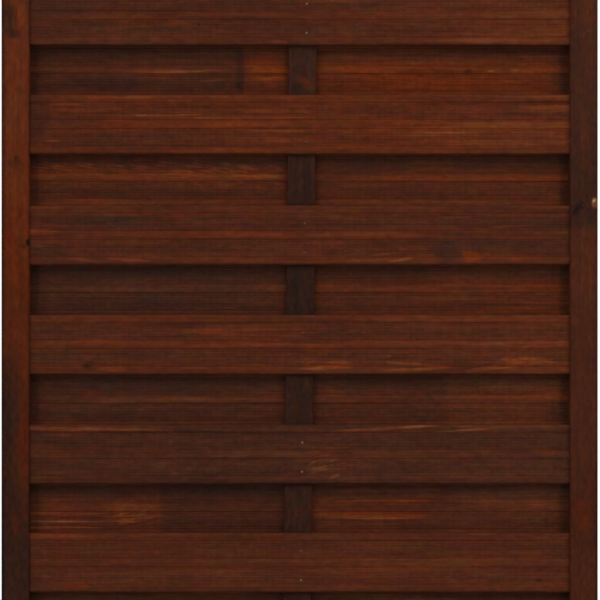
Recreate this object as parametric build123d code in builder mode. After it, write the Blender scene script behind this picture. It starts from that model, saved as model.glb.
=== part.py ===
"""Hit-and-miss fence panel: a grooved frame, ribbed slats in two layers and a centre batten.

Millimetres. X runs across the panel, Z runs up and the front faces -Y. The origin is in the
middle of the bottom edge.
"""
import os
from math import ceil, cos, pi, radians, sqrt, tan

from build123d import *

# Panel and frame
panel_width = 900.0
panel_height = 1800.0
frame_face = 42.0        # stile and rail, seen from the front
frame_depth = 42.0       # stile and rail, front to back
frame_round = 3.5        # long edges of stiles and rails
seat_depth = 12.5        # depth of the two grooves that hold the slat ends
end_play = 0.5           # between a slat end or a tenon and the bottom of its groove
side_play = 0.25         # between a slat or a tenon and each side of its groove

# Slats
slat_width = 90.0
slat_thickness = 8.0
slat_round = 3.0         # front edges of a slat, in three flats
least_lap = 7.0          # a slat covers at least this much of its neighbour
band_width = 10.8        # smooth bands at the top, middle and bottom of the face
flute_count = 7          # flutes in each of the two ribbed fields
rib_width = 2.0          # flat top of a rib
rib_drop = 0.6           # rib tops below the smooth bands
flute_depth = 1.2        # flutes below the smooth bands
# Slats nailed a little above or below even spacing, by their place from the top one, 0
slat_slips = {5: 0.7, 6: 2.7, 7: 1.2, 8: 4.3, 9: -1.2, 10: 0.5, 11: -1.6, 12: -2.3, 13: -2.3, 14: -1.6,
              15: -1.1}

# Centre batten
batten_width = 42.0
batten_thickness = 12.0
batten_shift = 1.0       # off the middle of the panel, at half height
batten_lean = 0.57       # degrees off plumb, top to the right
batten_round = 1.5

# Nails through the slats into the batten
nail_shank = 1.6         # square
nail_head = 4.2          # across the corners of the head
nail_head_thickness = 1.0
nail_play = 0.1          # around the shank
nail_cover = 2.0         # wood left under the point
nail_side_step = 5.5     # nail line, right of the batten's own middle
upper_rib = 4            # rib that takes the upper nail, counted down its field
lower_rib = 5            # rib that takes the lower nail, counted down its field

# Screws through the stiles into the rails
screw_diameter = 5.0
screw_head = 10.0
screw_length = 80.0
screw_sink = 0.5         # head below the stile's face
screw_play = 0.1         # around the shank and the head
socket_size = 4.4        # drive socket, across its corners
socket_depth = 2.2

# Chip broken off the right stile's outer front edge
chip_height = 13.0
chip_depth = 1.7
chip_level = 1031.0

# What follows from these
rail_span = panel_width - 2 * frame_face
seat_reach = seat_depth - end_play
slat_length = rail_span + 2 * seat_reach
slat_middle = (batten_thickness + slat_thickness) / 2
seat_width = slat_thickness + 2 * side_play
end_gap = frame_face - seat_reach
slat_stack = panel_height - 2 * end_gap - slat_width
slat_steps = ceil(slat_stack / (slat_width - least_lap))
slat_pitch = slat_stack / slat_steps
levels = [panel_height - end_gap - slat_width / 2 - i * slat_pitch + slat_slips.get(i, 0)
          for i in range(slat_steps + 1)]
rear_levels, front_levels = levels[0::2], levels[1::2]
field_width = (slat_width - 3 * band_width) / 2
flute_width = (field_width - (flute_count - 1) * rib_width) / flute_count
flute_pitch = flute_width + rib_width
field_tops = (slat_width / 2 - band_width, -band_width / 2)
nail_bite = batten_thickness - nail_cover
screw_seat = panel_width / 2 - screw_sink

os.makedirs("parts", exist_ok=True)


def save(part, name):
    part.label = name
    export_step(part, f"parts/{name}.step")


def member_section(plane):
    """Section of a stile or rail, its grooved side towards the plane's X."""
    with BuildSketch(plane) as section:
        RectangleRounded(frame_face, frame_depth, frame_round)
        with Locations(*[((frame_face - seat_depth) / 2, side * slat_middle) for side in (-1, 1)]):
            Rectangle(seat_depth, seat_width, mode=Mode.SUBTRACT)
    return section.sketch


def screw_plane(side, level):
    """Plane in the outer face of a stile, under a screw head, its Z out of the wood."""
    return Plane(origin=(side * screw_seat, 0, level), x_dir=(0, 1, 0), z_dir=(side, 0, 0))


def screw_shape(play=0.0, rise=0.0):
    """Countersunk twelve-sided screw below the XY plane, or the room for one with some play."""
    head, shank = screw_head / 2 + play, screw_diameter / 2 + play
    with BuildPart() as screw:
        with BuildSketch():
            RegularPolygon(head, 12)
        with BuildSketch(Plane.XY.offset(shank - head)):
            RegularPolygon(shank, 12)
        loft(ruled=True)
        with BuildSketch():
            RegularPolygon(shank, 12)
        extrude(amount=-screw_length - play)
        if rise:
            with BuildSketch():
                RegularPolygon(head, 12)
            extrude(amount=rise)
    return screw.part


def rail_levels():
    return frame_face / 2, panel_height - frame_face / 2


def make_stile(side):
    """Upright of the frame, on the left (-1) or the right (1)."""
    centre = side * (panel_width - frame_face) / 2
    with BuildPart() as stile:
        extrude(member_section(Plane((centre, 0, 0), (-side, 0, 0), (0, 0, 1))), panel_height)
        with Locations(*[screw_plane(side, level) for level in rail_levels()]):
            add(screw_shape(screw_play, screw_sink), mode=Mode.SUBTRACT)
        if side > 0:
            cut_chip()
    return stile.part


def cut_chip():
    """Scoop across the outer front edge of the right stile."""
    below_corner = chip_depth + frame_round * (sqrt(2) - 1)
    scoop = chip_height ** 2 / (8 * chip_depth) + chip_depth / 2
    out = (scoop - below_corner) / sqrt(2)
    corner = (panel_width / 2 + out, -frame_depth / 2 - out, chip_level)
    with Locations(Plane(corner, x_dir=(0, 0, 1), z_dir=(1, 1, 0))):
        Cylinder(scoop, 4 * chip_height, mode=Mode.SUBTRACT)


def make_rail(level, inward):
    """Cross member of the frame; its grooves face up (1) or down (-1)."""
    with BuildPart() as rail:
        section = member_section(Plane((-slat_length / 2, 0, level), (0, 0, inward), (1, 0, 0)))
        extrude(section, slat_length)
        for side in (-1, 1):
            shoulder = Plane((side * rail_span / 2, 0, level), (0, 1, 0), (side, 0, 0))
            with BuildSketch(shoulder):
                Rectangle(frame_depth + 2, frame_face + 2)
                with Locations((-slat_middle, 0), (slat_middle, 0)):
                    Rectangle(slat_thickness, frame_face + 2, mode=Mode.SUBTRACT)
            extrude(amount=seat_reach, mode=Mode.SUBTRACT)
        with Locations(*[screw_plane(side, level) for side in (-1, 1)]):
            add(screw_shape(screw_play), mode=Mode.SUBTRACT)
    return rail.part


def batten_middle(level):
    """X of the batten's middle line at a level."""
    return batten_shift + (level - panel_height / 2) * tan(radians(batten_lean))


def nail_levels(level):
    """The levels of the two nails in the slat at a level, each on the top of a rib."""
    rib_middles = [top - flute_width - rib_width / 2 for top in field_tops]
    return [level + middle - (rib - 1) * flute_pitch
            for middle, rib in zip(rib_middles, (upper_rib, lower_rib))]


def nail_planes(slat_levels, side):
    """Planes under the nail heads of one layer of slats, Z out of the wood."""
    head = side * (batten_thickness / 2 + slat_thickness - (rib_drop if side < 0 else 0))
    spots = [spot for level in slat_levels for spot in nail_levels(level)]
    return [Plane((batten_middle(z) + nail_side_step, head, z), (1, 0, 0), (0, side, 0)) for z in spots]


def nail_reach(side):
    """Length of a nail's shank in one layer of slats."""
    return slat_thickness + nail_bite - (rib_drop if side < 0 else 0)


def drill_nails(slat_levels, side):
    hole = nail_shank + 2 * nail_play
    with Locations(*nail_planes(slat_levels, side)):
        Box(hole, hole, nail_reach(side) + nail_play, mode=Mode.SUBTRACT,
            align=(Align.CENTER, Align.CENTER, Align.MAX))


def make_batten():
    """Leaning batten, its ends cut to the rails."""
    length = panel_height - 2 * frame_face
    foot = Plane((batten_middle(0), 0, 0), (1, 0, 0), (tan(radians(batten_lean)), 0, 1))
    with BuildPart() as batten:
        with BuildSketch(foot):
            RectangleRounded(batten_width, batten_thickness, batten_round)
        extrude(amount=panel_height)
        with Locations((0, 0, panel_height / 2)):
            Box(panel_width, frame_depth, length, mode=Mode.INTERSECT)
        drill_nails(front_levels, -1)
        drill_nails(rear_levels, 1)
    return batten.part


def slat_outline():
    """Corners of a slat's section about its middle: ribbed front face, bottom, back, top."""
    front, back, half = -slat_thickness / 2, slat_thickness / 2, slat_width / 2
    turn = [slat_round * (1 - cos(i * pi / 6)) for i in range(4)]
    corners = [(front + turn[3 - i], half - turn[i]) for i in range(4)]
    for top in field_tops:
        for i in range(flute_count):
            high = top - i * flute_pitch
            above = 0 if i == 0 else rib_drop
            below = 0 if i == flute_count - 1 else rib_drop
            corners += [(front + above, high),
                        (front + flute_depth, high - flute_width / 2),
                        (front + below, high - flute_width)]
    corners += [(front + turn[i], turn[3 - i] - half) for i in range(4)]
    return corners + [(back, -half), (back, half)]


def make_slat(level, side):
    """Slat in front of (-1) or behind (1) the batten, ribbed face to the front."""
    end = Plane((-slat_length / 2, side * slat_middle, level), (0, 1, 0), (1, 0, 0))
    with BuildPart() as slat:
        with BuildSketch(end):
            with BuildLine():
                Polyline(*slat_outline(), close=True)
            make_face()
        extrude(amount=slat_length)
        drill_nails([level], side)
    return slat.part


def make_nails(slat_levels, side):
    """All nails of one layer of slats."""
    planes = nail_planes(slat_levels, side)
    with BuildPart() as nails:
        with BuildSketch(*planes):
            RegularPolygon(nail_head / 2, 12)
        extrude(amount=nail_head_thickness)
        with Locations(*planes):
            Box(nail_shank, nail_shank, nail_reach(side), align=(Align.CENTER, Align.CENTER, Align.MAX))
    return nails.part


def make_screws():
    """The four corner screws, each with a six-sided socket."""
    planes = [screw_plane(side, level) for side in (-1, 1) for level in rail_levels()]
    with BuildPart() as screws:
        with Locations(*planes):
            add(screw_shape())
        with BuildSketch(*planes):
            RegularPolygon(socket_size / 2, 6)
        extrude(amount=-socket_depth, mode=Mode.SUBTRACT)
    return screws.part


save(make_stile(-1), "left_stile")
save(make_stile(1), "right_stile")
save(make_rail(rail_levels()[0], 1), "bottom_rail")
save(make_rail(rail_levels()[1], -1), "top_rail")
save(make_batten(), "centre_batten")
for number, height in enumerate(front_levels, 1):
    save(make_slat(height, -1), f"front_slat_{number:02d}")
for number, height in enumerate(rear_levels, 1):
    save(make_slat(height, 1), f"rear_slat_{number:02d}")
save(make_nails(front_levels, -1), "front_nails")
save(make_nails(rear_levels, 1), "rear_nails")
save(make_screws(), "corner_screws")
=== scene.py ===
"""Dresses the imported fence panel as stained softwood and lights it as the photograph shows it.

Metres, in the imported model's frame: X across, Z up, front to -Y. Places that were read off the
photograph are written as (across, down) in its 600 by 600 frame and turned into metres by at().
"""
import math
import random
from collections import namedtuple

import bpy
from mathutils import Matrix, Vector


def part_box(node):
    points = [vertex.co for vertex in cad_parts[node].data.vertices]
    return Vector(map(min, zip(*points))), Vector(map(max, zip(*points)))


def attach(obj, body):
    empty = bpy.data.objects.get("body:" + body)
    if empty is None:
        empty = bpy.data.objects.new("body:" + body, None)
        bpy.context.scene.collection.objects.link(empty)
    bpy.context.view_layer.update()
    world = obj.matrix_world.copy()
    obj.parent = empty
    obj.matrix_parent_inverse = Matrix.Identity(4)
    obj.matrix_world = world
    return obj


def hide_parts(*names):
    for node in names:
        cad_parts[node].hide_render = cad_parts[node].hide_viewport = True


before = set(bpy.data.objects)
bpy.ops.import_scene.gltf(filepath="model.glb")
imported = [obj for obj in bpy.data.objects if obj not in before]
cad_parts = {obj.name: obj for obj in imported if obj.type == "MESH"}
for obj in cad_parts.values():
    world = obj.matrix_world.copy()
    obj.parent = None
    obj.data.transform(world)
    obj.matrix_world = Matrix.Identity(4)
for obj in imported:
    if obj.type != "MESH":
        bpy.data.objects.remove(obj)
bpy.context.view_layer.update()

PHOTO = 600                       # pixels across the photograph, and down it
PIXEL = 0.0015086                 # metres a pixel of the photograph, at the frame's front face
MIDDLE = (299.6, 289.0, 0.9)      # pixel across, pixel down and height of the panel's middle
FRONT = -0.021                    # front face of the frame


def at(across, down):
    """X and Z of a place in the photograph."""
    return (across - MIDDLE[0]) * PIXEL, MIDDLE[2] - (down - MIDDLE[1]) * PIXEL


def pixel_down(height):
    """How far down the photograph a height is, also above and below its edges."""
    return MIDDLE[1] - (height - MIDDLE[2]) / PIXEL


def srgb(red, green, blue):
    """Linear colour of a screen colour from 0 to 255."""
    return tuple(v / 12.92 if v <= 0.04045 else ((v + 0.055) / 1.055) ** 2.4
                 for v in (red / 255, green / 255, blue / 255)) + (1.0,)


class Graph:
    """The nodes of a material or a world, written short."""

    def __init__(self, owner):
        owner.use_nodes = True
        self.owner, self.tree = owner, owner.node_tree
        self.tree.nodes.clear()

    def node(self, kind, inputs=None, **settings):
        node = self.tree.nodes.new(kind)
        for key, value in settings.items():
            setattr(node, key, value)
        for key, value in (inputs or {}).items():
            self.feed(node.inputs[key], value)
        return node

    def feed(self, socket, value):
        if isinstance(value, bpy.types.NodeSocket):
            self.tree.links.new(value, socket)
        else:
            socket.default_value = value

    def math(self, operation, *values, clamp=False):
        node = self.node("ShaderNodeMath", dict(enumerate(values)), operation=operation, use_clamp=clamp)
        return node.outputs[0]

    def vector(self, operation, first, second):
        node = self.node("ShaderNodeVectorMath", {0: first, 1: second}, operation=operation)
        return node.outputs[0]

    def noise(self, place, scale, shift, detail, roughness, output="Fac"):
        """Noise stretched by a scale for each axis and moved by a shift of its own."""
        mapping = self.node("ShaderNodeMapping", {"Vector": place, "Scale": scale, "Location": shift})
        texture = self.node("ShaderNodeTexNoise", {"Vector": mapping.outputs[0], "Scale": 1.0,
                                                   "Detail": detail, "Roughness": roughness})
        return texture.outputs[output]

    def ramp(self, value, stops):
        """Colour of a value, along a row of (position, colour)."""
        node = self.node("ShaderNodeValToRGB", {"Fac": value})
        elements = node.color_ramp.elements
        while len(elements) < len(stops):
            elements.new(0.5)
        for element, (position, colour) in zip(elements, stops):
            element.position, element.color = position, colour
        return node.outputs["Color"]

    def spread(self, value, low, high, to_low, to_high, smooth=False):
        """A value between two ends, spread between two others."""
        node = self.node("ShaderNodeMapRange", {"Value": value, "From Min": low, "From Max": high,
                                                "To Min": to_low, "To Max": to_high})
        node.interpolation_type = "SMOOTHSTEP" if smooth else "LINEAR"
        return node.outputs[0]

    def measured(self, place, middle, size, slope=0.0):
        """A place as counted from a middle, in steps of a size for each axis, along a falling line."""
        return self.node("ShaderNodeMapping", {"Vector": place, "Location": middle, "Scale": size,
                                               "Rotation": (0, math.atan(slope), 0)},
                         vector_type="TEXTURE").outputs[0]

    def ball(self, place, middle, reach, slope=0.0):
        """1 at a middle, and 0 from its reach along each axis on."""
        field = self.measured(place, middle, reach, slope)
        return self.node("ShaderNodeTexGradient", {0: field}, gradient_type="SPHERICAL").outputs["Fac"]

    def surface(self, inputs):
        """Ends a material in one shader, and gives the material."""
        shader = self.node("ShaderNodeBsdfPrincipled", inputs)
        self.node("ShaderNodeOutputMaterial", {"Surface": shader.outputs[0]})
        return self.owner


# Marks of the boards, in the photograph's pixels. Tone is how much lighter a mark is, and warmth how much
# more orange. Slope is how far a streak, or a dash in a field of dashes, falls a pixel along. Depth, in
# metres, is how far a streak goes into the wood, where that isn't the usual. A seam changes what is to the
# right of its place, or below it on an upright.
DASH_WARMTH = 0.15
Streak = namedtuple("Streak", "start end down height tone warmth slope depth", defaults=(0.0, None))
Dashes = namedtuple("Dashes", "start end down height tone slope warmth", defaults=(DASH_WARMTH,))
Seam = namedtuple("Seam", "place tone warmth width")

# Boards that the photograph shows
MARKS = {
    "front_slat_03": [
        Seam(305, 0.07, 0.05, 40), Seam(470, 0.05, 0.05, 100), Streak(104, 156, 25, 9, 0.07, 0.3),
        Streak(160, 192, 22, 6, 0.07, 0.3), Streak(197, 201, 24, 4, -0.22, -0.2),
        Streak(212, 232, 31.5, 3, 0.1, 0.1), Streak(262, 294, 41.5, 5, 0.18, 0.15, 0.02),
        Streak(-40, 110, 8, 20, -0.03, -0.2), Streak(330, 414, 15, 7, 0.07, 0.2),
        Streak(385, 645, 40, 8, 0.08, 0.1), Streak(420, 645, 28, 22, 0.06, 0.1),
        Streak(300, 350, 28, 16, -0.02, -0.1), Streak(346, 412, 3, 8, -0.05, -0.2),
        Streak(430, 645, 14, 7, 0.05, 0), Streak(20, 300, 15, 8, 0.05, 0.1),
        Streak(530, 650, 31, 18, 0.08, 0.1)],
    "rear_slat_04": [
        Seam(241, 0.08, 0.35, 6), Seam(300, 0.04, 0.1, 20), Streak(-24, 115, 68, 6, 0.09, 0.1),
        Streak(104, 236, 68.5, 9, 0.13, 0.1, -0.005), Streak(116, 238, 69.5, 4, 0.16, 0.35, -0.01),
        Streak(128, 174, 77, 3, 0.1, 0), Streak(188, 218, 80, 3, 0.08, 0),
        Streak(40, 160, 82, 18, -0.08, -0.2), Streak(234.5, 245.5, 72, 60, -0.14, -0.3),
        Streak(243, 292, 66, 44, 0.09, 0.4), Streak(252, 290, 77, 4, 0.14, 0, 0.06),
        Streak(243, 288, 68.5, 6, 0.1, 0.2), Streak(246, 288, 76.5, 5, 0.07, 0.15),
        Streak(312, 436, 68, 9, 0.07, 0.3), Streak(425, 600, 68, 7, 0.06, 0.2),
        Streak(490, 600, 56, 10, 0.06, 0), Streak(318, 560, 80, 30, 0.02, 0.4),
        Streak(464, 474, 70, 5, -0.28, -0.3, -0.1), Streak(487, 497, 70, 3, 0.36, -0.2),
        Streak(510, 522, 69, 4, 0.16, 0), Streak(380, 387, 77, 4, -0.16, 0, -0.2),
        Streak(418, 425, 74, 4, -0.12, 0), Streak(340, 346, 81, 4, -0.1, 0),
        Streak(550, 572, 75, 50, -0.07, -0.2), Streak(380, 428, 84, 8, 0.07, 0.2, -0.05)],
    "front_slat_04": [
        Seam(110, 0.04, 0.05, 80), Seam(200, 0.02, 0.05, 60), Seam(480, 0.02, -0.15, 60),
        Streak(16, 52, 112, 60, -0.11, -0.2), Streak(56, 188, 97, 4, 0.1, 0.2, -0.005),
        Streak(46, 88, 104, 2.5, 0.22, 0.1), Streak(48, 116, 110.5, 3, 0.09, 0.1, 0.02),
        Streak(126, 206, 115, 2.5, 0.2, 0.1, -0.01), Streak(134, 148, 115, 3, 0.2, 0, -0.05),
        Streak(158, 184, 112, 2.5, 0.12, 0.1, 0.02), Streak(166, 330, 117.5, 3, 0.15, 0.1),
        Streak(236, 330, 111, 5, 0.12, 0.15), Streak(90, 320, 124, 8, 0.01, 0.2),
        Streak(100, 140, 121, 3, 0.12, 0.1), Streak(118, 140, 130, 2.5, 0.13, 0.1),
        Streak(234, 318, 130.5, 4, 0.14, 0.1), Streak(44, 62, 141, 3, 0.22, 0.1),
        Streak(136, 162, 141, 2.5, 0.1, 0), Streak(262, 318, 140, 4, 0.12, 0.1),
        Streak(184, 330, 150, 4, 0.07, 0.1), Streak(60, 240, 140, 24, -0.06, -0.2),
        Streak(484, 645, 97, 4.5, 0.14, 0), Streak(484, 645, 102, 3, -0.12, -0.1),
        Streak(506, 645, 107, 5, 0.17, 0.2), Streak(494, 532, 112.5, 3, -0.1, 0),
        Streak(396, 490, 132, 3, 0.14, 0), Streak(430, 645, 124, 8, 0.08, 0.2),
        Streak(40, 190, 113, 12, 0.05, 0.1), Streak(310, 650, 135, 24, 0.09, 0.1),
        Streak(312, 352, 98, 6, -0.08, 0), Streak(310, 480, 122, 7, 0.05, 0.1)],
    "rear_slat_05": [
        Streak(-36, 300, 163, 18, -0.05, 0.1), Dashes(-20, 320, 166, 17, 0.2, 0.16),
        Dashes(150, 310, 184, 10, 0.08, 0.14), Streak(30, 130, 166, 9, 0.06, 0.15, 0.04),
        Streak(-28, 330, 175.5, 9, 0.11, 0.25), Streak(228, 290, 175, 6, 0.09, 0.1, 0.04),
        Dashes(230, 292, 176, 8, 0.09, 0.2), Streak(204, 240, 183, 4, 0.12, 0.1, 0.1),
        Streak(270, 288, 184, 8, 0.12, 0.1, 0.25), Streak(-20, 300, 190, 18, -0.07, -0.1),
        Streak(-28, 90, 194, 4, 0.09, 0.2), Streak(60, 136, 199.5, 4, 0.12, 0.15),
        Streak(312, 432, 165, 14, -0.05, -0.3), Streak(314, 645, 177, 8, 0.1, 0.3),
        Streak(470, 645, 168, 6, 0.03, -0.2), Streak(546, 563, 196, 10, 0.09, 0.2),
        Streak(-60, 680, 203, 9, 0.12, 0.1)],
    "front_slat_05": [
        Streak(-32, 66, 208.5, 6, 0.08, 0.3), Streak(62, 150, 221, 16, -0.02, -0.5),
        Streak(70, 146, 215, 2.5, 0.07, -0.2), Streak(-32, 66, 222, 12, 0.01, 0.1),
        Streak(-32, 72, 232.2, 8, 0.26, 0.3), Streak(50, 320, 234, 8, 0.1, 0.3),
        Streak(30, 50, 246, 3, 0.2, -0.1, -0.03), Streak(28, 41, 249, 4, -0.14, -0.2),
        Streak(34, 62, 249, 12, -0.07, -0.2), Streak(62, 106, 260, 3.5, 0.22, 0.1, 0.07),
        Streak(104, 154, 260, 3.5, 0.2, 0.1, 0.06), Streak(150, 330, 261, 4, 0.08, 0.2),
        Streak(430, 466, 217, 3, 0.18, -0.3), Streak(460, 645, 215, 2.5, 0.1, -0.2),
        Streak(470, 650, 205, 6, 0.1, 0), Streak(484, 545, 226, 3, 0.2, -0.1, -0.02),
        Streak(470, 645, 222, 14, -0.02, -0.3), Streak(300, 446, 235, 8, 0.14, 0.2),
        Streak(310, 440, 243, 26, 0.07, 0.1), Streak(324, 331, 233, 6, 0.1, 0.2),
        Streak(528, 645, 234, 4, 0.08, -0.1), Streak(430, 645, 244, 10, -0.05, -0.4),
        Streak(428, 462, 252, 26, -0.1, -0.5), Streak(459, 481, 256, 14, 0.1, 0.7),
        Streak(332, 392, 260, 4, 0.13, 0.15, -0.02), Streak(362, 392, 255, 3, 0.18, 0.1, -0.05),
        Streak(384, 414, 260, 4, 0.22, 0.15, -0.12), Streak(398, 434, 256, 4, 0.14, 0.1, -0.1),
        Streak(498, 528, 260, 5, 0.06, 0.3), Streak(300, 420, 219, 10, 0.02, 0)],
    "rear_slat_06": [
        Seam(300, 0.03, 0.15, 60), Seam(440, 0.06, 0.1, 80), Streak(-30, 300, 292, 60, -0.02, -0.3),
        Streak(164, 250, 308, 3, 0.1, 0), Streak(220, 238, 308, 2.5, 0.14, 0),
        Streak(234, 274, 303, 5, 0.06, 0.3), Streak(470, 645, 287, 8, 0.08, 0.3),
        Streak(474, 645, 303, 3.5, 0.12, 0.15), Streak(484, 560, 307, 4, 0.1, 0.3),
        Streak(318, 352, 305, 3, 0.1, 0), Streak(536, 550, 294, 2.5, 0.16, -0.1),
        Streak(316, 470, 289, 8, 0.03, 0.1), Streak(40, 240, 288, 8, 0.03, 0.1)],
    "front_slat_06": [
        Seam(215, 0.03, 0, 60), Seam(500, 0.04, 0.05, 60), Streak(44, 320, 318, 6, 0.03, 0.3),
        Streak(270, 650, 318, 7, 0.09, 0.2), Streak(-32, 124, 335, 14, -0.06, -0.2),
        Streak(180, 330, 332, 18, 0.1, 0.2), Streak(-32, 320, 344, 8, 0.08, 0.3),
        Streak(160, 330, 344, 6, 0.07, 0.2), Streak(96, 180, 354, 14, -0.05, -0.3),
        Streak(80, 95, 365, 9, -0.14, 0), Streak(84, 90, 366, 4, -0.14, -0.2),
        Streak(96, 130, 369, 5, 0.1, 0.5), Streak(-32, 110, 371, 5, -0.06, 0.3),
        Streak(120, 320, 371, 6, -0.08, 0.3), Streak(174, 210, 368, 2.5, 0.13, 0),
        Streak(252, 270, 366, 5, 0.09, 0.5), Streak(-32, 104, 361, 2.5, 0.07, 0),
        Streak(300, 440, 331, 16, -0.03, -0.1), Streak(296, 346, 348, 12, 0.11, 0.3),
        Streak(336, 450, 344, 7, 0.06, 0.2), Streak(440, 645, 344, 7, 0.18, 0.15),
        Streak(385, 393, 356, 2.5, 0.18, -0.3), Streak(400, 430, 359, 2.5, 0.12, 0.1),
        Streak(290, 366, 367, 7, 0.21, 0.3, -0.06), Dashes(286, 360, 366, 12, 0.16, -0.1),
        Dashes(470, 570, 362, 16, 0.14, -0.05), Streak(374, 452, 364, 3.5, 0.18, 0.25, 0.07),
        Streak(378, 452, 368.8, 4.4, 0.28, 0.3, -0.05), Streak(462, 512, 368.5, 5, 0.28, 0.3, -0.12),
        Streak(498, 562, 361, 10, 0.15, 0.3, 0.03), Streak(512, 545, 359, 2.5, 0.1, 0, 0.03),
        Streak(318, 354, 362, 6, 0.15, 0.25), Streak(446, 474, 360, 16, -0.05, -0.2),
        Streak(546, 575, 369, 6, 0.06, 0.3)],
    "rear_slat_07": [
        Seam(446, 0.09, 0.1, 10), Streak(-30, 300, 402, 50, -0.03, -0.2),
        Streak(78, 100, 395, 7, 0.06, 0.5), Streak(60, 330, 401, 8, 0.12, 0.1),
        Streak(290, 450, 399, 8, 0.08, 0.1), Streak(316, 344, 393, 8, 0.07, 0.3),
        Streak(446, 645, 397, 7, 0.09, 0.3), Streak(476, 562, 388, 5, 0.07, 0.2),
        Streak(472, 556, 421.5, 4, 0.1, 0.3), Streak(548, 572, 410, 20, -0.08, -0.2)],
    "front_slat_07": [
        Streak(-34, 186, 429.3, 4.4, 0.34, 0.35, 0.012), Streak(-34, 146, 426, 4, 0.1, 0.3),
        Seam(176, -0.04, -0.15, 6), Seam(300, 0.07, 0.05, 60), Streak(-30, 178, 449, 9, 0.03, 0.2),
        Streak(-32, 292, 480.5, 6, -0.08, 0), Streak(38, 80, 435, 2.5, 0.12, 0),
        Streak(-32, 62, 446, 2.5, 0.12, 0), Streak(138, 176, 446, 3, 0.1, 0),
        Streak(188, 320, 454, 7, 0.05, 0.1), Streak(168, 182, 474, 3, 0.14, 0, 0.05),
        Streak(326, 446, 428.6, 4, 0.3, 0.3, -0.05), Streak(398, 446, 427, 3.6, 0.1, 0.2, -0.04),
        Streak(436, 502, 430, 3.6, 0.26, 0.3, -0.05), Streak(446, 556, 426.5, 4, 0.12, 0.15),
        Dashes(300, 352, 465, 26, 0.2, -0.22), Streak(310, 340, 461, 4, 0.08, 0.15, -0.12),
        Streak(326, 360, 447, 5, 0.08, 0.5, -0.12), Streak(328, 342, 476.5, 4, 0.16, 0.15, -0.35),
        Streak(300, 540, 454, 7, 0.06, 0.2), Streak(302, 334, 453, 5, 0.08, 0.3),
        Streak(528, 560, 452, 8, 0.09, 0.5), Streak(552, 645, 468, 2.5, 0.16, -0.2),
        Streak(546, 600, 452, 60, -0.06, -0.2), Streak(180, 345, 430, 6, 0.06, 0.1)],
    "rear_slat_08": [
        Seam(160, -0.1, -0.25, 6), Streak(-30, 166, 522, 32, 0.02, 0.1),
        Streak(-30, 200, 493, 16, -0.08, -0.1), Streak(98, 162, 508, 8, 0.13, 0.15),
        Streak(-10, 116, 514.6, 4, 0.3, -0.15), Streak(-10, 108, 522.6, 3.6, 0.26, -0.15),
        Streak(0, 112, 529, 4, 0.3, -0.15), Streak(104, 160, 521, 16, 0.06, 0.15),
        Dashes(98, 168, 519, 20, 0.22, -0.1), Streak(112, 156, 525, 3, -0.12, 0, -0.1),
        Streak(40, 130, 519, 2.6, -0.1, 0), Streak(-30, 130, 496, 3, 0.07, 0.1),
        Streak(212, 250, 505, 6, 0.04, 0.3), Seam(306, 0.09, 0.27, 10),
        Streak(332, 450, 502, 3, 0.19, 0.3), Streak(300, 446, 516.3, 9, 0.12, 0.35),
        Streak(326, 440, 519.2, 3, 0.17, 0.2), Streak(312, 448, 509, 8, -0.06, 0),
        Streak(310, 456, 491, 6, 0.09, 0.1), Streak(358, 402, 525.5, 2.5, 0.12, 0),
        Seam(448, 0.03, -0.12, 6), Streak(420, 650, 498, 24, 0.11, 0), Streak(543, 551, 521, 5, -0.16, 0),
        Streak(528, 536, 520, 4, -0.1, 0)],
    "front_slat_08": [
        Streak(-34, 98, 537, 8, 0.1, 0.45), Streak(60, 330, 569, 10, 0.03, 0.1),
        Streak(62, 94, 586, 9, 0.04, 0.4), Streak(300, 390, 571, 7, 0.05, 0.2),
        Streak(364, 382, 532, 4, 0.1, 0.3), Streak(468, 498, 534, 3.5, 0.13, 0.15, -0.04),
        Streak(535, 543, 581, 4.5, -0.22, -0.2), Streak(405, 411, 589, 4, -0.08, 0.2),
        Streak(330, 650, 570, 40, 0.08, 0), Streak(80, 312, 538, 7, -0.06, 0)],
    "left_stile": [
        Seam(140, -0.03, 0.2, 40), Seam(215, -0.06, 0.2, 60), Seam(285, -0.06, 0, 60),
        Seam(310, 0.03, -0.2, 40), Seam(360, -0.1, -0.4, 60), Seam(400, -0.05, -0.1, 40),
        Seam(436, 0, 0.2, 20), Seam(484, 0, -0.2, 20), Seam(480, -0.06, -0.15, 50),
        Seam(540, -0.02, -0.2, 60), Streak(0, 13.5, 16, 38, -0.18, -0.5),
        Streak(6, 19, 17, 34, -0.12, -0.3), Streak(3, 16.5, 33, 15, -0.16, -0.3),
        Streak(9, 22.5, 34, 12, -0.16, -0.3), Streak(16, 27, 14, 28, 0.12, 0.2),
        Streak(13, 20, 159, 10, -0.2, -0.1), Streak(18, 24, 213, 13, -0.1, 0),
        Streak(25.5, 30.5, 242.5, 10, -0.42, -0.3), Streak(16, 28, 246.5, 5, -0.14, -0.1),
        Streak(2, 14, 420, 170, -0.07, -0.3), Streak(17, 31, 430, 220, 0.05, 0.45),
        Streak(11, 20, 525, 26, 0.05, 0.5), Streak(24, 30, 322, 48, -0.06, 0),
        # the first streak on the next line runs along the whole outer edge: painted shade on its rounded
        # arris
        Streak(-3, 5.5, 300, 3000, -0.17, -0.1), Streak(-4, 7, 130, 460, -0.1, 0),
        Streak(14, 27, 72, 44, 0.07, 0.1), Streak(8, 21.5, 100, 46, 0.05, 0.1),
        Streak(0, 27, 162, 9, -0.08, 0)],
    "right_stile": [
        Seam(25, -0.05, -0.25, 20), Seam(150, -0.06, -0.1, 40), Seam(228, 0.14, 0.45, 14),
        Seam(300, -0.06, 0, 80), Seam(470, -0.09, 0.1, 60), Seam(560, 0.03, 0, 40),
        Streak(574, 593, 34, 2.5, 0.14, 0, -0.2), Streak(582, 593, 165, 13, 0.06, 0.5),
        Streak(570, 585, 211, 8, -0.22, -0.2), Streak(568, 593, 206, 2, -0.15, -0.2),
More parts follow.
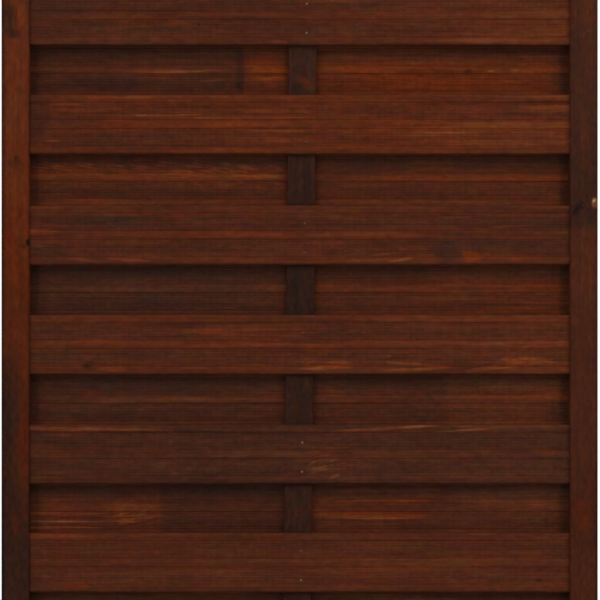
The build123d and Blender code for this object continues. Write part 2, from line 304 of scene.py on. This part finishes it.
        Streak(584, 599, 214, 20, -0.03, -0.4), Streak(590.5, 600.5, 203, 13.5, 0.58, 0),
        Streak(591.2, 597.2, 199.8, 6.5, 0.3, 0.35), Streak(573, 591, 515, 36, 0.04, 0.4),
        Streak(573, 582, 138, 28, -0.06, -0.1), Streak(573, 586.5, 98, 56, 0.05, 0.1),
        # the first streak on the next line runs along the whole outer edge: painted shade on its rounded
        # arris
        Streak(593, 602, 300, 3000, -0.06, -0.1), Streak(594, 604, 510, 300, -0.1, 0),
        Streak(577, 592, 140, 64, 0.1, 0.2)],
    "centre_batten": [
        Seam(130, -0.06, 0, 40), Seam(230, -0.02, 0, 40), Seam(450, -0.03, 0.1, 40),
        Streak(297, 310, 79.5, 9, 0.12, 0.7, 0.35), Streak(303, 316, 85, 11, 0.09, 0.6, 0.5),
        Streak(290, 304, 88, 13, -0.12, -0.3, 0.3), Streak(292, 306, 513, 9, 0.06, 0.7),
        Streak(296, 302, 513.5, 4, -0.13, 0)],
}

# Painted shade on every rear slat, counted down from its upper edge: a cool tint below that edge where the
# front slat above shades it, a dark line above the next front slat, and dark ends beside the stiles
WHOLE_LENGTH = (-900, 1500)       # pixels, from well outside the photograph on both sides
FACE_DEPTH = 0.006                # metres, in the front of the slat alone
REAR_PAINTED_SHADE = [Streak(*WHOLE_LENGTH, 8, 26, 0.0, -0.55, depth=FACE_DEPTH),
              Streak(*WHOLE_LENGTH, 47, 14, -0.04, 0.0, depth=FACE_DEPTH),
              Streak(25, 39, 30, 160, -0.09, -0.1), Streak(560, 574, 30, 160, -0.14, -0.1)]

# Tone and warmth of the boards that the photograph shows
BOARDS = {"front_slat_03": (0.44, 0.45), "front_slat_04": (0.45, 0.65), "front_slat_05": (0.46, 0.50),
          "front_slat_06": (0.445, 0.50), "front_slat_07": (0.38, 0.25), "front_slat_08": (0.44, 0.50),
          "rear_slat_04": (0.42, 0.35), "rear_slat_05": (0.48, 0.53), "rear_slat_06": (0.42, 0.35),
          "rear_slat_07": (0.43, 0.35), "rear_slat_08": (0.46, 0.50), "left_stile": (0.55, 0.80),
          "right_stile": (0.42, 0.40), "centre_batten": (0.29, -0.10)}

# The other boards: their tone, the range of their warmth, the ranges of their streaks, and their knot
UNSEEN_TONE = 0.45
UNSEEN_WARMTH = (0.35, 0.65)
STREAK_COUNT = 9
STREAK_REACHES = (25, 90)         # pixels to each side of its middle
STREAK_HEIGHTS = (3, 7)
STREAK_TONES = (-0.06, 0.18)
STREAK_WARMTHS = (-0.2, 0.4)
STREAK_SLOPES = (-0.05, 0.05)
KNOT_LENGTH = 6
KNOT_HEIGHT = 5
KNOT_TONE = -0.2
KNOT_WARMTH = -0.1


def invented(node, dice):
    """Streaks, and a knot at the end of the last one, for a board that the photograph doesn't show."""
    (left, _, low), (right, _, high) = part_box(node)
    marks = []
    for _ in range(STREAK_COUNT):
        across = MIDDLE[0] + dice.uniform(left, right) / PIXEL
        down = pixel_down(dice.uniform(low, high))
        reach = dice.uniform(*STREAK_REACHES)
        marks.append(Streak(across - reach, across + reach, down, dice.uniform(*STREAK_HEIGHTS),
                            dice.uniform(*STREAK_TONES), dice.uniform(*STREAK_WARMTHS),
                            dice.uniform(*STREAK_SLOPES)))
    end = marks[-1].end
    marks.append(Streak(end, end + KNOT_LENGTH, down, KNOT_HEIGHT, KNOT_TONE, KNOT_WARMTH))
    return marks


# Colour of the stain by tone, and what warmth multiplies it by
STAIN = ((0.0, srgb(28, 13, 9)), (0.16, srgb(53, 24, 12.6)), (0.32, srgb(70.5, 32.2, 17.4)),
         (0.48, srgb(88.5, 42.0, 22.0)), (0.64, srgb(103, 57.5, 32)), (0.80, srgb(136, 89, 57)),
         (1.0, srgb(190, 160, 132)))
STAIN_SCALE = 0.8                 # place in the stain's row, for each step of tone
TINTS = ((0.0, (0.69, 1.21, 1.75, 1)), (0.333, (0.85, 1.10, 1.32, 1)), (0.611, (1.0, 1.0, 1.0, 1)),
         (0.889, (1.25, 0.94, 0.56, 1)), (1.0, (1.34, 0.92, 0.42, 1)))
TINT_SCALE = 0.5556               # place in the tints' row, for each step of warmth
TINT_START = 0.3333               # place of warmth 0
DYE_GAIN = (0.85, 0.90, 1.80)     # how unevenly the dye took, in red, green and blue
DYE_BASE = (0.575, 0.55, 0.10)

# Noises in the wood: size along the grain, in depth and across the grain, then detail and roughness
Grain = namedtuple("Grain", "length thick wide detail roughness")
FIBRE = Grain(0.20, 0.03, 0.0060, 4.0, 0.54)
THREAD = Grain(0.07, 0.01, 0.0019, 3.0, 0.6)
FLECK = Grain(0.012, 0.01, 0.0060, 2.0, 0.6)
PATCH = Grain(0.30, 0.20, 0.045, 3.0, 0.55)
DYE = Grain(0.045, 0.03, 0.016, 4.0, 0.75)
WANDER = Grain(0.09, 0.05, 0.012, 2.0, 0.5)
POOL = Grain(0.05, 0.01, 0.012, 2.0, 0.55)
NOISE_SHIFT = 50                  # most that a noise is moved, in its own cells
STREAK_SWAY = (0.036, 0, 0.004)   # how far streaks wander along the grain, in depth and across the grain

# What the noises add to the tone; fibre and thread are weaker where the grain is upright
FIBRE_TONE = {"X": 0.50, "Z": 0.34}
THREAD_TONE = {"X": 0.20, "Z": 0.12}
PATCH_TONE = 0.24
FLECK_TONE = 0.40
TONE_LESS = 0.03                  # taken off every board's tone

# Masks of the marks
SPOT_LENGTH = 14                  # pixels; a streak up to this long is a spot, with a clean outline
SPOT_DEPTH = 0.012
SPOT_GAIN = 2.2                   # firmness of a spot's outline
STREAK_DEPTH = 1.0                # right through the board
STREAK_GAIN = 9.0                 # how much a streak's outline follows the threads
STREAK_BASE = -2.0
DASH_SIZE = (0.026, 0.02, 0.0040)
DASH_DETAIL = 1.0
DASH_EDGE = (0.50, 0.62)          # noise at which a dash starts, and at which it is full
DASH_FIELD_GAIN = 3.0
MARK_GAIN = 1.2                   # how much a mark's tone follows the fibre
MARK_BASE = 0.4

# A slat's ribbed face: ranges of depth behind its smooth bands, and what is lighter or darker there
RIBS_FROM = (0.0002, 0.0005)      # from the bands to the ribs
FLUTES_FROM = (0.0006, 0.0010)    # from the ribs to the flutes
FACE_TO = (0.0015, 0.0020)        # from the ribbed face to the wood behind it
BAND_TONE = 0.035
KNIFE_PITCH = 0.00944             # between the planer's knife marks across the ribs
KNIFE_TONE = 0.016
POOL_TONE = 0.30
LOWER_EDGE = (-0.0435, -0.0405)   # heights from a slat's middle, at the lower edge of a front slat, where shade is painted
LOWER_EDGE_SHADE = -0.07
FOLD_HEIGHTS = (0.0066, 0.0330)   # flutes beside the bands, above and below a slat's middle, where shade is painted
FOLD_HALF = 0.0014
FOLD_SHADE = -0.05
FOLD_SHADE_WARMTH = 0.40
PALEST = 0.84                     # highest tone on a slat

# End grain of the uprights: rings round a pith that lies outside the board
SAWN_TURN = 0.7                   # upward part of the normal from which a face is a sawn end
PITH_SHIFT_X = (-0.5, -0.4)       # ranges of what is added to a place to count it from the pith
PITH_SHIFT_Y = (0.03, 0.05)
RING_SCALE = 90.0
RING_DISTORTION = 0.8
RING_DETAIL = 0.6
RING_TONE = 0.16
SAWN_TONE = -0.24

# Surface of the wood
WOOD_BUMP = 0.25
WOOD_BUMP_HEIGHT = 0.0004
WOOD_ROUGHNESS = (0.5, 0.7)       # from dark to pale fibre
WOOD_SPECULAR = 0.05
NOISE_RANGE = (0.3, 0.7)          # where nearly all of a noise lies
NOISE_MIDDLE = 0.5


class Wood(Graph):
    """Stained softwood with its grain along X or Z and its front face at a depth."""

    def __init__(self, name, along, front, seed):
        super().__init__(bpy.data.materials.new(name))
        self.along, self.front, self.dice = along, front, random.Random(seed)
        self.place = self.node("ShaderNodeTexCoord").outputs["Object"]
        self.axes = self.node("ShaderNodeSeparateXYZ", {0: self.place}).outputs
        self.fibre = self.grain(FIBRE)
        self.thread = self.grain(THREAD)
        self.fleck = self.grain(FLECK)
        self.patch = self.grain(PATCH)
        self.dye = self.grain(DYE, "Color")
        sway = self.vector("SUBTRACT", self.grain(WANDER, "Color"), (NOISE_MIDDLE,) * 3)
        sway = self.vector("MULTIPLY", sway, self.turned(*STREAK_SWAY))
        self.drift = self.vector("ADD", self.place, sway)
        self.ragged = self.math("MULTIPLY_ADD", self.thread, STREAK_GAIN, STREAK_BASE)

    def turned(self, length, thick, wide):
        """X, Y and Z of a size along the grain, in depth and across the grain."""
        return (length, thick, wide) if self.along == "X" else (wide, thick, length)

    def grain(self, kind, output="Fac"):
        """A noise stretched along the grain, at a place of its own."""
        scale = self.turned(1 / kind.length, 1 / kind.thick, 1 / kind.wide)
        shift = tuple(self.dice.uniform(-NOISE_SHIFT, NOISE_SHIFT) for _ in range(3))
        return self.noise(self.place, scale, shift, kind.detail, kind.roughness, output)

    def oval(self, mark, depth):
        """Middle and reach of a mark."""
        x, z = at((mark.start + mark.end) / 2, mark.down)
        reach = ((mark.end - mark.start) * PIXEL / 2, depth, mark.height * PIXEL / 2)
        return (x, self.front, z), reach

    def streak(self, mark):
        """Mask of a streak with a ragged outline, or of a spot."""
        spot = mark.end - mark.start <= SPOT_LENGTH
        middle, reach = self.oval(mark, mark.depth or (SPOT_DEPTH if spot else STREAK_DEPTH))
        ball = self.ball(self.place if spot else self.drift, middle, reach, mark.slope)
        return self.math("MULTIPLY", ball, SPOT_GAIN if spot else self.ragged, clamp=True)

    def dashes(self, mark):
        """Mask of a field of short dashes."""
        middle, reach = self.oval(mark, STREAK_DEPTH)
        cells = self.measured(self.place, middle, DASH_SIZE, mark.slope)
        cells = self.node("ShaderNodeTexNoise", {"Vector": cells, "Scale": 1.0, "Detail": DASH_DETAIL})
        field = self.math("MULTIPLY", self.ball(self.place, middle, reach), DASH_FIELD_GAIN, clamp=True)
        return self.math("MULTIPLY", field, self.spread(cells.outputs["Fac"], *DASH_EDGE, 0.0, 1.0))

    def seam(self, mark):
        """Mask of what lies beyond a seam."""
        x, z = at(mark.place, mark.place)
        half = mark.width * PIXEL / 2
        if self.along == "X":
            return self.spread(self.axes["X"], x - half, x + half, 0, 1, True)
        return self.spread(self.axes["Z"], z + half, z - half, 0, 1, True)

    def marked(self, marks, warm):
        """What the marks add to the tone, and the warmth with theirs added."""
        masks = {Streak: self.streak, Dashes: self.dashes, Seam: self.seam}
        light, hue = 0.0, warm
        for mark in marks:
            mask = masks[type(mark)](mark)
            light = self.math("MULTIPLY_ADD", mask, mark.tone, light)
            if mark.warmth:
                hue = self.math("MULTIPLY_ADD", mask, mark.warmth, hue)
        return light, hue

    def figure(self, tone, light):
        """Tone of a board with its grain and its marks."""
        fibre, thread = FIBRE_TONE[self.along], THREAD_TONE[self.along]
        base = tone - TONE_LESS - (fibre + thread + PATCH_TONE + FLECK_TONE) * NOISE_MIDDLE
        value = self.math("MULTIPLY_ADD", self.fibre, fibre, base)
        value = self.math("MULTIPLY_ADD", self.thread, thread, value)
        value = self.math("MULTIPLY_ADD", self.patch, PATCH_TONE, value)
        value = self.math("MULTIPLY_ADD", self.fleck, FLECK_TONE, value)
        follow = self.math("MULTIPLY_ADD", self.fibre, MARK_GAIN, MARK_BASE)
        return self.math("MULTIPLY_ADD", light, follow, value)

    def behind(self, depths, to_near, to_far):
        """Spreads a range of depths behind the front face between two values."""
        near, far = depths
        return self.spread(self.axes["Y"], self.front + near, self.front + far, to_near, to_far)

    def ribbed(self, value, hue, level):
        """Tone and warmth of a slat with its ribbed face, its middle at a level."""
        height = self.math("SUBTRACT", self.axes["Z"], level)
        face = self.behind(FACE_TO, 1.0, 0.0)
        smooth = self.behind(RIBS_FROM, BAND_TONE, 0.0)
        knife = self.math("SINE", self.math("MULTIPLY", self.axes["X"], 2 * math.pi / KNIFE_PITCH))
        cut = self.math("MULTIPLY", face, self.behind(RIBS_FROM, 0.0, KNIFE_TONE))
        value = self.math("MULTIPLY_ADD", knife, cut, self.math("ADD", value, smooth))
        # painted shade along the lower edge of a front slat
        if self.front < 0:
            value = self.math("ADD", value, self.spread(height, *LOWER_EDGE, LOWER_EDGE_SHADE, 0.0))
        pooled = self.math("SUBTRACT", self.grain(POOL), NOISE_MIDDLE)
        sunk = self.math("MULTIPLY", face, self.behind(FLUTES_FROM, 0.0, POOL_TONE))
        value = self.math("MULTIPLY_ADD", sunk, pooled, value)
        # painted shade, darker and warmer, in the flutes beside the bands
        off_middle = self.math("ABSOLUTE", height)
        folds = [self.math("COMPARE", off_middle, fold, FOLD_HALF) for fold in FOLD_HEIGHTS]
        fold_shade = self.math("MULTIPLY", self.math("MAXIMUM", *folds), face)
        value = self.math("MULTIPLY_ADD", fold_shade, FOLD_SHADE, value)
        hue = self.math("MULTIPLY_ADD", fold_shade, FOLD_SHADE_WARMTH, hue)
        return self.math("MINIMUM", value, PALEST), hue

    def sawn(self, value):
        """Tone of an upright with its end grain."""
        normal = self.node("ShaderNodeNewGeometry").outputs["Normal"]
        upward = self.node("ShaderNodeSeparateXYZ", {0: normal}).outputs["Z"]
        end = self.math("GREATER_THAN", self.math("ABSOLUTE", upward), SAWN_TURN)
        shift = (self.dice.uniform(*PITH_SHIFT_X), self.dice.uniform(*PITH_SHIFT_Y), 0)
        rings = self.node("ShaderNodeTexWave", {"Vector": self.vector("ADD", self.place, shift),
                                                "Scale": RING_SCALE, "Distortion": RING_DISTORTION,
                                                "Detail Scale": RING_DETAIL},
                          wave_type="RINGS", rings_direction="Z").outputs["Fac"]
        return self.math("MULTIPLY_ADD", end, self.math("MULTIPLY_ADD", rings, RING_TONE, SAWN_TONE), value)

    def stained(self, value, hue):
        """Colour of a tone and a warmth, unevenly dyed."""
        colour = self.ramp(self.math("MULTIPLY", value, STAIN_SCALE), STAIN)
        tint = self.ramp(self.math("MULTIPLY_ADD", hue, TINT_SCALE, TINT_START), TINTS)
        dye = self.vector("ADD", self.vector("MULTIPLY", self.dye, DYE_GAIN), DYE_BASE)
        return self.vector("MULTIPLY", self.vector("MULTIPLY", colour, tint), dye)


def wood(name, along, tone, warm, seed, marks, front, level=None):
    """Material of a board; tone and warmth are about 0.5 on the usual one.

    front is the depth of its front face, and level is the height of a ribbed slat's middle.
    """
    graph = Wood(name, along, front, seed)
    light, hue = graph.marked(marks, warm)
    value = graph.figure(tone, light)
    if level is not None:
        value, hue = graph.ribbed(value, hue, level)
    if along == "Z":
        value = graph.sawn(value)
    bump = graph.node("ShaderNodeBump", {"Height": graph.thread, "Strength": WOOD_BUMP,
                                         "Distance": WOOD_BUMP_HEIGHT})
    return graph.surface({"Base Color": graph.stained(value, hue), "Normal": bump.outputs[0],
                          "Roughness": graph.spread(graph.fibre, *NOISE_RANGE, *WOOD_ROUGHNESS),
                          "Specular IOR Level": WOOD_SPECULAR})


# Nail heads that shine pale in the photograph; the others are stained over
PALE_NAILS = ((307, 5), (305.6, 34), (302, 445), (303.6, 473.6), (298, 581))
PALE_REACH = (0.012, 1, 0.012)    # how far round such a place a head is pale
PALE_GAIN = 3.0
PALE_TONE = 0.24
STEEL = ((0.0, srgb(52, 28, 21)), (0.35, srgb(80, 47, 36)), (0.75, srgb(116, 82, 70)),
         (1.0, srgb(150, 122, 112)))
SMEAR_SCALE = (420, 420, 420)     # cells of smeared stain a metre
SMEAR_SHIFT = (3, 7, 5)
SMEAR_DETAIL = 3.0
SMEAR_ROUGHNESS = 0.6
SMEAR_TONE = 0.5
STEEL_TONE = 0.05                 # below what the smears add
STEEL_METALLIC = 0.1
STEEL_ROUGHNESS = (0.45, 0.65)
STEEL_SPECULAR = 0.2


def steel(name, bright):
    """Zinc-coated steel with stain smeared over it, paler at the bright places."""
    graph = Graph(bpy.data.materials.new(name))
    place = graph.node("ShaderNodeTexCoord").outputs["Object"]
    smear = graph.noise(place, SMEAR_SCALE, SMEAR_SHIFT, SMEAR_DETAIL, SMEAR_ROUGHNESS)
    value = graph.math("MULTIPLY_ADD", smear, SMEAR_TONE, STEEL_TONE)
    for across, down in bright:
        x, z = at(across, down)
        pale = graph.math("MULTIPLY", graph.ball(place, (x, 0, z), PALE_REACH), PALE_GAIN, clamp=True)
        value = graph.math("MULTIPLY_ADD", pale, PALE_TONE, value)
    return graph.surface({"Base Color": graph.ramp(value, STEEL), "Metallic": STEEL_METALLIC,
                          "Roughness": graph.spread(smear, *NOISE_RANGE, *STEEL_ROUGHNESS),
                          "Specular IOR Level": STEEL_SPECULAR})


def dress(node, material):
    """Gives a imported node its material."""
    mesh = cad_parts[node].data
    mesh.materials.clear()
    mesh.materials.append(material)


class Shell:
    """Corners and faces of a new piece, and the numbers of its flat faces."""

    def __init__(self):
        self.corners, self.faces, self.flat = [], [], set()

    def ring(self, corners):
        """Adds corners, and gives their numbers."""
        first = len(self.corners)
        self.corners += corners
        return tuple(range(first, len(self.corners)))

    def join(self, one, two, order, flat=False):
        """Joins two rings by a band of faces, or a ring to a point; order is 1, or -1 to turn them over."""
        for k in range(len(one)):
            on = (k + 1) % len(one)
            across = (two[on], two[k]) if len(two) > 1 else two
            if flat:
                self.flat.add(len(self.faces))
            self.faces.append(((one[k], one[on]) + across)[::order])

    def close(self, ring, order):
        """Fills a ring with one flat face."""
        self.flat.add(len(self.faces))
        self.faces.append(ring[::order])

    def piece(self, name, material, node):
        """The mesh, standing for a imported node; smooth but for its flat faces."""
        mesh = bpy.data.meshes.new(name)
        mesh.from_pydata(self.corners, [], self.faces)
        smooth = [number not in self.flat for number in range(len(self.faces))]
        mesh.polygons.foreach_set("use_smooth", smooth)
        mesh.materials.append(material)
        mesh.update()
        made = bpy.data.objects.new(name, mesh)
        bpy.context.collection.objects.link(made)
        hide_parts(node)
        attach(made, "root")


# A slat's section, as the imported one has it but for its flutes, which wear has made shallower
SLAT_WIDTH = 0.090
SLAT_THICKNESS = 0.008
SLAT_ROUND = 0.003                # front edges of a slat
SLAT_FLATS = 3                    # in each of those edges
BAND_WIDTH = 0.0108
FLUTE_COUNT = 7                   # flutes in each of the two ribbed fields
RIB_WIDTH = 0.002
RIB_DROP = 0.0006                 # rib tops below the smooth bands
FLUTE_DROP = 0.00085              # flutes below the smooth bands
WEAR = 0.00065                    # taken off an edge at each of its worn corners
WEAR_SHARE = 0.48                 # most that one corner takes of an edge
WEAR_STEPS = 3
SLAT_LENGTHS = 12                 # stretches of mesh along a slat


def slat_section():
    """Corners of a slat's section: depth behind its ribbed face, and height from its middle."""
    half = SLAT_WIDTH / 2
    field = (SLAT_WIDTH - 3 * BAND_WIDTH) / 2
    flute = (field - (FLUTE_COUNT - 1) * RIB_WIDTH) / FLUTE_COUNT
    turn = [SLAT_ROUND * (1 - math.cos(i * math.pi / 2 / SLAT_FLATS)) for i in range(SLAT_FLATS + 1)]
    edge = list(zip(turn[::-1], turn))
    corners = [(depth, half - height) for depth, height in edge]
    for top in (half - BAND_WIDTH, -BAND_WIDTH / 2):
        for i in range(FLUTE_COUNT):
            high = top - i * (flute + RIB_WIDTH)
            corners += [(RIB_DROP if i else 0, high), (FLUTE_DROP, high - flute / 2),
                        (RIB_DROP if i < FLUTE_COUNT - 1 else 0, high - flute)]
    corners += [(depth, height - half) for depth, height in edge[::-1]]
    return corners + [(SLAT_THICKNESS, -half), (SLAT_THICKNESS, half)]


def eased(corners):
    """The closed outline with each corner worn round."""
    points = [Vector(corner) for corner in corners]
    worn = []
    for before, corner, after in zip(points[-1:] + points[:-1], points, points[1:] + points[:1]):
        back, on = before - corner, after - corner
        cut = min(WEAR, WEAR_SHARE * back.length, WEAR_SHARE * on.length)
        start, end = corner + back.normalized() * cut, corner + on.normalized() * cut
        for step in range(WEAR_STEPS + 1):
            t = step / WEAR_STEPS
            worn.append(start * (1 - t) ** 2 + corner * 2 * t * (1 - t) + end * t ** 2)
    return worn


def slat(node, material):
    """A slat with worn ribs and arrises."""
    (left, front, low), (right, _, high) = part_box(node)
    section = eased(slat_section())
    shell = Shell()

    def station(x):
        return shell.ring([(x, front + depth, (low + high) / 2 + height) for depth, height in section])

    stations = [station(left + (right - left) * i / SLAT_LENGTHS) for i in range(SLAT_LENGTHS + 1)]
    for one, two in zip(stations, stations[1:]):
        shell.join(one, two, 1)
    shell.close(station(left), -1)
    shell.close(station(right), 1)
    shell.piece(node + "_worn", material, node)


# Nails: radius and height of the rings of a domed head, up to its top, and the square shank under it
DOME = ((0.00195, 0.0), (0.0021, 0.0004), (0.00205, 0.00062), (0.00175, 0.00086), (0.0012, 0.00097))
HEAD_SIDES = 20
HEAD_THICKNESS = 0.001
HEAD_LEAN = 0.06                  # most that a head leans, as a slope
SHANK_HALF = 0.0008
SHANK_SINK = 0.0005               # the shank's upper end, below the top of the head
NAIL_GAP = 0.006                  # corners further apart in height belong to two nails


def nail_spots(node):
    """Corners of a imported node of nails, in a list for each nail."""
    spots = []
    for corner in sorted((v.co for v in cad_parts[node].data.vertices), key=lambda co: co.z):
        if not spots or corner.z - spots[-1][-1].z > NAIL_GAP:
            spots.append([])
        spots[-1].append(corner)
    return spots


def nail_head(shell, x, z, top, side, lean):
    """Domed head with its top at a depth, towards the front (-1) or the back (1)."""
    rings = []
    for radius, height in DOME:
        around = []
        for k in range(HEAD_SIDES):
            turn = k * 2 * math.pi / HEAD_SIDES
            dx, dz = radius * math.cos(turn), radius * math.sin(turn)
            tilt = min(0.0, dx * lean[0] + dz * lean[1])
            around.append((x + dx, side * (top - HEAD_THICKNESS + height + tilt), z + dz))
        rings.append(shell.ring(around))
    rings.append(shell.ring([(x, side * top, z)]))
    for one, two in zip(rings, rings[1:]):
        shell.join(one, two, -side)
    shell.close(rings[0], side)


def nail_shank(shell, x, z, top, tip, side):
    """Square shank from inside the head down to the tip."""
    around = [(x + dx * SHANK_HALF, z + dz * SHANK_HALF) for dx, dz in ((-1, -1), (1, -1), (1, 1), (-1, 1))]
    upper, lower = [shell.ring([(across, side * depth, height) for across, height in around])
                    for depth in (top - SHANK_SINK, tip)]
    shell.join(upper, lower, side, flat=True)
    shell.close(upper, -side)
    shell.close(lower, side)


def nails(node, material, dice):
    """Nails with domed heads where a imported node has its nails."""
    side = -1 if node.startswith("front") else 1
    shell = Shell()
    for spot in nail_spots(node):
        x, z = (sum((min(v[i] for v in spot), max(v[i] for v in spot))) / 2 for i in (0, 2))
        depths = [side * v.y for v in spot]
        lean = (dice.uniform(-HEAD_LEAN, HEAD_LEAN), dice.uniform(-HEAD_LEAN, HEAD_LEAN))
        nail_head(shell, x, z, max(depths), side, lean)
        nail_shank(shell, x, z, max(depths), min(depths), side)
    shell.piece(node + "_domed", material, node)


def panel():
    """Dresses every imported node, or puts a finer piece in its place."""
    for number, node in enumerate(sorted(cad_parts)):
        dice = random.Random(number)
        low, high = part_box(node)
        tone, warm = BOARDS.get(node, (UNSEEN_TONE, dice.uniform(*UNSEEN_WARMTH)))
        marks = MARKS[node] if node in MARKS else invented(node, dice)
        # every rear slat also gets its painted shade: cool under the slat above, dark above the next front
        # slat and at its ends
        if node.startswith("rear_slat"):
            marks = marks + [mark._replace(down=pixel_down(high[2]) + mark.down) for mark in REAR_PAINTED_SHADE]
        if "slat" in node:
            slat(node, wood(node, "X", tone, warm, number, marks, low[1], (low[2] + high[2]) / 2))
        elif "nails" in node:
            nails(node, steel(node, PALE_NAILS if "front" in node else ()), dice)
        elif "screws" in node:
            dress(node, steel(node, ()))
        else:
            dress(node, wood(node, "X" if "rail" in node else "Z", tone, warm, number, marks, low[1]))


# Floor, surroundings and suns; a sun has a name, degrees round the panel from its front, and a strength
FLOOR_SIZE = 6.0
FLOOR_COLOUR = (0.62, 0.62, 0.61, 1)
FLOOR_ROUGHNESS = 0.8
ROOM_COLOUR = (0.94, 1.0, 1.1, 1)
ROOM_STRENGTH = 0.5
WHITE = (1, 1, 1, 1)
SUNS = (("key_left", -32, 0.9), ("key_right", 32, 0.9), ("back_fill", 180, 1.2))
SUN_HEIGHT = 38                   # degrees above the floor
SUN_WIDTH = 38                    # degrees across, so that its shadows are soft
SUN_COLOUR = (1.03, 1.0, 0.94)


def studio():
    """Pale floor, white surroundings and broad soft lights, two above the front and one above the back."""
    bpy.ops.mesh.primitive_plane_add(size=FLOOR_SIZE, location=(0, 0, 0))
    floor = bpy.context.object
    floor.name = "floor"
    paint = Graph(bpy.data.materials.new("pale_floor"))
    floor.data.materials.append(paint.surface({"Base Color": FLOOR_COLOUR, "Roughness": FLOOR_ROUGHNESS}))

    world = Graph(bpy.data.worlds.new("studio"))
    bpy.context.scene.world = world.owner
    path = world.node("ShaderNodeLightPath")
    seen = path.outputs["Is Camera Ray"]
    for kind in ("Is Glossy Ray", "Is Transmission Ray"):
        seen = world.math("MAXIMUM", seen, path.outputs[kind])
    room = world.node("ShaderNodeBackground", {"Color": ROOM_COLOUR, "Strength": ROOM_STRENGTH})
    white = world.node("ShaderNodeBackground", {"Color": WHITE})
    mixed = world.node("ShaderNodeMixShader", {0: seen, 1: room.outputs[0], 2: white.outputs[0]})
    world.node("ShaderNodeOutputWorld", {"Surface": mixed.outputs[0]})

    for name, turn, strength in SUNS:
        sun = bpy.data.lights.new(name, "SUN")
        sun.energy, sun.angle, sun.color = strength, math.radians(SUN_WIDTH), SUN_COLOUR
        lamp = bpy.data.objects.new(name, sun)
        bpy.context.collection.objects.link(lamp)
        lamp.rotation_euler = (math.radians(90 - SUN_HEIGHT), 0, math.radians(turn))


LENS = 200.0                      # millimetres, as the sensor's width
SENSOR = 36.0


def camera():
    """Long lens square on to the panel, framed as the photograph is."""
    lens = bpy.data.cameras.new("photo")
    lens.lens, lens.sensor_width = LENS, SENSOR
    eye = bpy.data.objects.new("photo", lens)
    bpy.context.collection.objects.link(eye)
    x, z = at(PHOTO / 2, PHOTO / 2)
    eye.location = (x, FRONT - PHOTO * PIXEL * LENS / SENSOR, z)
    eye.rotation_euler = (math.radians(90), 0, 0)
    bpy.context.scene.camera = eye


panel()
studio()
camera()
bpy.context.scene.view_settings.view_transform = "Standard"
